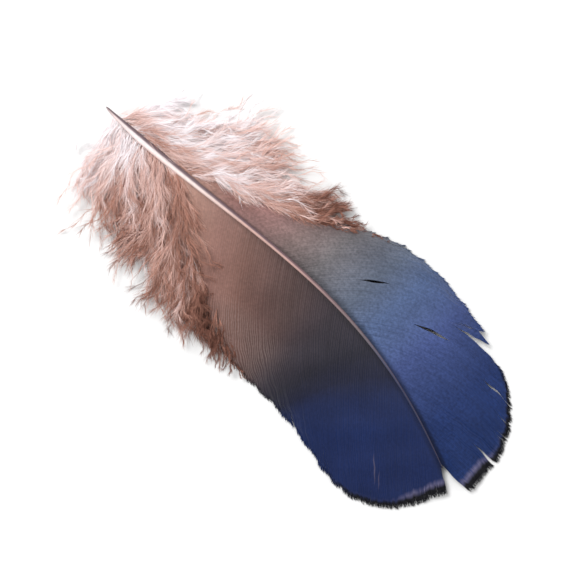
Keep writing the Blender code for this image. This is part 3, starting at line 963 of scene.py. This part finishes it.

# %% [markdown]
# The down is nearly white round the quill, and browner up along the feather and outwards, sooner on the dark
# side. On the bright side it is also darker right beside the shaft, and that is painted shade. So a thread
# takes its tone from its place, and its lock and the thread itself shift it a little.

# %% The down's tone
# Points of (x, tone), with 0 for brown and 1 for nearly white.
PALENESS = {
    DARK: [(0.0, 0.95), (5.0, 0.82), (8.0, 0.55), (11.0, 0.47), (14.0, 0.47), (17.0, 0.47), (20.0, 0.54),
           (23.0, 0.42), (27.0, 0.22), (34.0, 0.08)],
    BRIGHT: [(0.0, 1.08), (8.0, 1.03), (14.0, 0.99), (17.0, 0.93), (20.0, 0.81), (23.0, 0.58), (26.0, 0.38),
             (30.0, 0.22), (36.0, 0.1)],
}
BROWNER_OUTWARDS = 0.022  # tone lost for each millimetre away from the shaft, counted from EVEN_AT
EVEN_AT = 6.0
# Painted shade: the down is darker close to the shaft, most on the bright side.
DOWN_ROOT_SHADE = {DARK: 0.0, BRIGHT: 0.34}  # tone lost close to the shaft
LOCK_TONES = {DARK: (-0.26, 0.24), BRIGHT: (-0.46, 0.2)}
LOCK_TONE_COUNTS = (0.3, 1.0)  # beside the quill, and further up
THREAD_TONES = 0.16


def thread_tone(side, thread, lock_tone, chance):
    """The tone at every point of a thread."""
    outward = side * (thread[:, 1] - shaft_side(thread[:, 0]))
    tone = smooth_curve(PALENESS[side], thread[:, 0]) - BROWNER_OUTWARDS * (outward - EVEN_AT)
    tone += lock_tone * between(LOCK_TONE_COUNTS, smooth_step(2.0, 13.0, thread[:, 0]))
    # The painted shade beside the shaft is taken off here.
    return tone - DOWN_ROOT_SHADE[side] * smooth_step(2.6, 1.0, outward) + chance.normal(0, THREAD_TONES)


print("tone at x = 10 mm:", [round(float(smooth_curve(PALENESS[side], 10.0)), 2) for side in PALENESS])

# %% [markdown]
# The lowest down springs from the shaft itself and fans out forwards, so the quill's point stays free. From
# there on it leans more and more towards the tip. It lies in several layers, from one that arches up to one
# near the surface.

# %% Locks that root on the shaft
SHAFT_DOWN = {DARK: (1.7, 12.5), BRIGHT: (2.3, 13.0)}
SHAFT_LOCKS = 28
THREADS_IN_LOCK = 12
# From the first lock to the last: degrees at which it leaves the shaft, how far it turns, and its length.
LEAVES_AT = {DARK: (68.0, 52.0), BRIGHT: (56.0, 45.0)}
TURNS_BY = {DARK: (-12.0, -30.0), BRIGHT: (-24.0, -32.0)}
LOCK_LENGTH = (9.5, 16.5)
SWEPT_FORWARD = {DARK: 4.0, BRIGHT: 12.0}  # degrees less for the uppermost locks, and more for the lowest
# Most threads keep to their lock within a few degrees. One in five strays.
KEEPS, STRAYS, SHARE_OF_STRAYS = 5, 16, 0.2


def shaft_locks(side, chance):
    """Threads of the locks that root on the shaft, and their tones."""
    threads, tones = [], []
    for n in range(SHAFT_LOCKS):
        share = (n + chance.uniform(0, 1)) / SHAFT_LOCKS
        x = between(SHAFT_DOWN[side], share)
        layer = chance.uniform(-1, 1)
        angle = between(LEAVES_AT[side], share) - SWEPT_FORWARD[side] * layer + chance.normal(0, 9)
        curl = between(TURNS_BY[side], share) + chance.normal(0, 11)
        lock_length = between(LOCK_LENGTH, share**0.7) * chance.uniform(0.85, 1.1)
        arch = 0.5 + 0.5 * float(smooth_step(0.0, 0.3, share))
        wave = random_wave(chance)
        lock_tone = chance.uniform(*LOCK_TONES[side])
        for _ in range(THREADS_IN_LOCK):
            stray = STRAYS if chance.uniform() < SHARE_OF_STRAYS else KEEPS
            root_x = x + chance.uniform(-0.7, 0.7)
            below = 0.25 if root_x < FIRST_BARB else 0.5
            root = (root_x, shaft_side(root_x) + side * 0.25, shaft_height(root_x) - below)
            turned = angle + chance.normal(0, stray) + (curl + chance.normal(0, stray)) * ALONG**1.2
            heading = shaft_heading(root_x) + side * np.radians(turned)
            tip_height = 1.4 + layer + chance.uniform(-0.6, 0.9)
            heights = (tip_height, arch * (0.4 + 1.5 * layer + chance.normal(0, 0.4)))
            length = lock_length * chance.uniform(0.6, 1.08)
            threads.append(wandering_thread(root, heading, length, wave, heights, chance))
            tones.append(thread_tone(side, threads[-1], lock_tone, chance))
    return threads, tones


print("threads from the shaft on each side:", SHAFT_LOCKS * THREADS_IN_LOCK)

# %% [markdown]
# Further up, each barb starts as web and goes on as down past the web's edge. So these threads start on the
# outer part of the low barbs that were walked above, and fan out from there.

# %% Threads that carry on from the low barbs
LAST_DOWNY_END = 35.0
FULLY_DOWNY_END = 14.0
THREADS_ON_BARB = (3, 8)
THREAD_LENGTH = (2.0, 11.0)
# Degrees that a thread turns out from its barb beside the last of the down, and how much more near the quill.
TURNS_OUT = {DARK: (-18.0, 28.0), BRIGHT: (-18.0, -2.0)}
# What its lock adds: from the locks swept forward, which lie on top, to those that stand out below them.
LOCK_FAN = {DARK: (-8.0, 14.0), BRIGHT: (-14.0, 34.0)}
LOCK_LIFT = (1.9, -0.3)
NEW_LOCK = 0.3  # the chance that a barb starts a new lock


def edge_locks(side, chance):
    """Threads that carry on from the low barbs, and their tones."""
    made = vane_barbs[side]
    end_x = made["middle"][:, -1, 0]
    threads, tones = [], []
    wave = None
    for i in np.flatnonzero(end_x < LAST_DOWNY_END):
        near = float(smooth_step(LAST_DOWNY_END, FULLY_DOWNY_END, end_x[i]))
        if wave is None or chance.uniform() < NEW_LOCK:
            wave = random_wave(chance)
            fan = chance.uniform()
            lock_angle, lock_lift = between(LOCK_FAN[side], fan), between(LOCK_LIFT, fan)
            lock_curl = chance.uniform(-34, 16)
            lock_tone = chance.uniform(*LOCK_TONES[side])
        for _ in range(round(between(THREADS_ON_BARB, near**0.5))):
            row = int(chance.integers(int(ROWS * 0.6), ROWS))
            ahead = made["ahead"][i, row]
            leans_out = TURNS_OUT[side][0] + TURNS_OUT[side][1] * near + lock_angle + chance.normal(0, 7)
            turned = leans_out + (lock_curl + chance.normal(0, 9)) * ALONG**1.4
            heading = math.atan2(ahead[1], ahead[0]) + side * np.radians(turned)
            length = between(THREAD_LENGTH, near) * chance.uniform(0.55, 1.12)
            heights = (chance.uniform(0.2, 2.4), lock_lift * near + chance.normal(0, 0.25))
            threads.append(wandering_thread(made["middle"][i, row], heading, length, wave, heights, chance))
            tones.append(thread_tone(side, threads[-1], lock_tone, chance))
    return threads, tones


# %% [markdown]
# Under the quill a chicken's feather has a second, small and wholly downy one, the afterfeather. It is a
# loose fan that lies below the vanes.

# %% The afterfeather's threads
AFTERFEATHER_THREADS = 110
THREADS_IN_FAN_LOCK = 9
FAN_HALF_ANGLE = 46


def afterfeather_locks(chance):
    """Threads of the fan under the quill, and their tones."""
    threads, tones = [], []
    wave, lock_angle = random_wave(chance), 0.0
    for n in range(AFTERFEATHER_THREADS):
        if n % THREADS_IN_FAN_LOCK == 0:
            wave = random_wave(chance)
            lock_angle = chance.uniform(-FAN_HALF_ANGLE, FAN_HALF_ANGLE)
        root_x = chance.uniform(2.6, 5.0)
        root = (root_x, shaft_side(root_x), shaft_height(root_x) - 0.45)
        heading = shaft_heading(root_x) + np.radians(lock_angle * (1 + 0.3 * ALONG) + chance.normal(0, 8))
        heights = (chance.uniform(0.2, 1.0), chance.uniform(-1.7, -0.8))
        threads.append(wandering_thread(root, heading, chance.uniform(8, 15), wave, heights, chance))
        tones.append(np.full(THREAD_ROWS, chance.uniform(0.3, 0.75)))
    return threads, tones


print("the fan spreads over", 2 * FAN_HALF_ANGLE, "degrees")

# %% [markdown]
# The lines become meshes here. A thread is a closed strip of three corners round, which is enough for
# something thinner than a hair, and its barbules are the same small blades as on the fringe.

# %% Widen the threads
THREAD_HALF_WIDTH = 0.03
THREAD_CORNERS = (4.7, 2.6, 0.5)  # radians round the thread, in the order that turns faces outwards


def thread_strips(threads, tone):
    """A narrow closed strip round every thread."""
    ahead = unit(np.gradient(threads, axis=1))
    aside = unit(np.cross(ahead, [0, 0, 1]))
    up = np.cross(aside, ahead)
    taper = (1 - 0.75 * ALONG**1.5)[None, :, None] * THREAD_HALF_WIDTH
    columns = [threads + (aside * math.cos(a) + up * math.sin(a)) * taper for a in THREAD_CORNERS]
    return np.stack(columns, 2), True, {"tone": tone[:, :, None]}


# %% Set barbules on the threads
LONGEST_BARBULE = 2.2
FULL_LENGTH_FROM = 7.0  # shorter threads than this carry shorter barbules
BARBULE_WIDTHS = (0.017, 0.014, 0.003)


def thread_barbules(threads, tone, chance, each):
    """Short curved blades on all sides of every thread."""
    count, rows, _ = threads.shape
    place = np.sort(chance.uniform(0.04, 1.0, (count, each)), 1) * (rows - 1.001)
    thread = np.arange(count)[:, None]
    base, low = point_on(threads, thread, place)
    ahead = unit(threads[thread, low + 1] - threads[thread, low])
    out = unit(np.cross(ahead, chance.normal(0, 1, ahead.shape) + [0, 0, 1.2]))
    out *= chance.choice([-1.0, 1.0], (count, each))[..., None]
    lean = np.radians(chance.uniform(5, 30, (count, each)))[..., None]
    way = ahead * np.cos(lean) + out * np.sin(lean)
    thread_length = np.linalg.norm(np.diff(threads, axis=1), axis=-1).sum(1)
    longest = LONGEST_BARBULE * np.clip(thread_length / FULL_LENGTH_FROM, 0.2, 1.0)[:, None, None]
    length = longest * chance.uniform(0.4, 1.0, (count, each))[..., None]
    length = length * (1 - 0.5 * (place / rows)[..., None] ** 2)
    corners = blades(base, way, 0.35 * ahead, length, BARBULE_WIDTHS, chance)
    shade = tone[thread, low].reshape(-1) + chance.uniform(-0.08, 0.12, count * each)
    return corners, False, {"tone": shade[:, None, None]}


def make_down(name, locks, each, chance):
    """One piece of down from its locks, with each thread carrying the same number of barbules."""
    threads, tones = locks
    threads = np.array(threads)
    tone = np.clip(np.array(tones), 0.0, 1.0)
    print(name, "has", len(threads), "threads")
    join_strips(name, [thread_strips(threads, tone), thread_barbules(threads, tone, chance, each)], pinkish)


# %% Make the down
SHAFT_DOWN_BARBULES, EDGE_DOWN_BARBULES, AFTERFEATHER_BARBULES = 92, 68, 68
DOWN_SEED, AFTERFEATHER_SEED = 31, 41
for side, label in ((DARK, "dark"), (BRIGHT, "bright")):
    chance = np.random.default_rng(DOWN_SEED + side)
    make_down("shaft_down_" + label, shaft_locks(side, chance), SHAFT_DOWN_BARBULES, chance)
    make_down("edge_down_" + label, edge_locks(side, chance), EDGE_DOWN_BARBULES, chance)
chance = np.random.default_rng(AFTERFEATHER_SEED)
make_down("afterfeather", afterfeather_locks(chance), AFTERFEATHER_BARBULES, chance)

# %% [markdown]
# ## Surface, light and camera
#
# The photograph was taken straight down on a white table in soft light. The floor is a plain pale plane. One
# large soft light stands to the upper left, and a weaker one fills from the other side. A photographed room
# could light the feather too, but its reflections would be of another place.

# %% Floor
FLOOR_HALF = 1.5
FLOOR_COLOUR = [0.78, 0.78, 0.78, 1.0]
floor_work = bmesh.new()
bmesh.ops.create_grid(floor_work, x_segments=1, y_segments=1, size=FLOOR_HALF)
floor_mesh = bpy.data.meshes.new("floor")
floor_work.to_mesh(floor_mesh)
floor_work.free()
floor = bpy.data.objects.new("floor", floor_mesh)
bpy.context.scene.collection.objects.link(floor)
floor_finish = Finish("floor_white", roughness=0.9, specular=0.2)
floor_finish.put("Base Color", FLOOR_COLOUR)
floor_mesh.materials.append(floor_finish.material)
print("floor is", 2 * FLOOR_HALF, "m wide")

# %% Light


def area_light(name, place, size, power):
    """A soft round light that points at the feather."""
    light = bpy.data.lights.new(name, "AREA")
    light.shape = "DISK"
    light.size = size
    light.energy = power
    lamp = bpy.data.objects.new(name, light)
    lamp.location = place
    x, y, z = place
    lamp.rotation_euler = (math.atan2(math.hypot(x, y), z), 0.0, math.atan2(-y, -x) - math.pi / 2)
    bpy.context.scene.collection.objects.link(lamp)
    print(name, "light:", power, "W,", size, "m wide")


area_light("key", (-0.34, -0.02, 0.6), size=0.3, power=4.6)
area_light("fill", (0.4, 0.3, 0.5), size=0.6, power=0.9)
world = bpy.data.worlds.new("studio")
world.use_nodes = True
background = world.node_tree.nodes["Background"]
background.inputs["Color"].default_value = (1.0, 1.0, 1.0, 1.0)
background.inputs["Strength"].default_value = 0.5
bpy.context.scene.world = world
bpy.context.scene.view_settings.view_transform = "Standard"

# %% Camera
VIEW_WIDTH = 0.072
VIEW_MIDDLE = np.array([31.58, 1.88, 0.0])
VIEW_TURN = math.radians(48.3)  # so that the tip lies to the lower right
camera_data = bpy.data.cameras.new("camera")
camera_data.lens = 100
camera_data.clip_start = 0.01
camera = bpy.data.objects.new("camera", camera_data)
camera.location = (VIEW_MIDDLE - FOOTPRINT_MIDDLE) * MM
camera.location.z = VIEW_WIDTH * camera_data.lens / camera_data.sensor_width
camera.rotation_euler = (0.0, 0.0, VIEW_TURN)
bpy.context.scene.collection.objects.link(camera)
bpy.context.scene.camera = camera
print("camera hangs", round(camera.location.z, 2), "m above the feather")
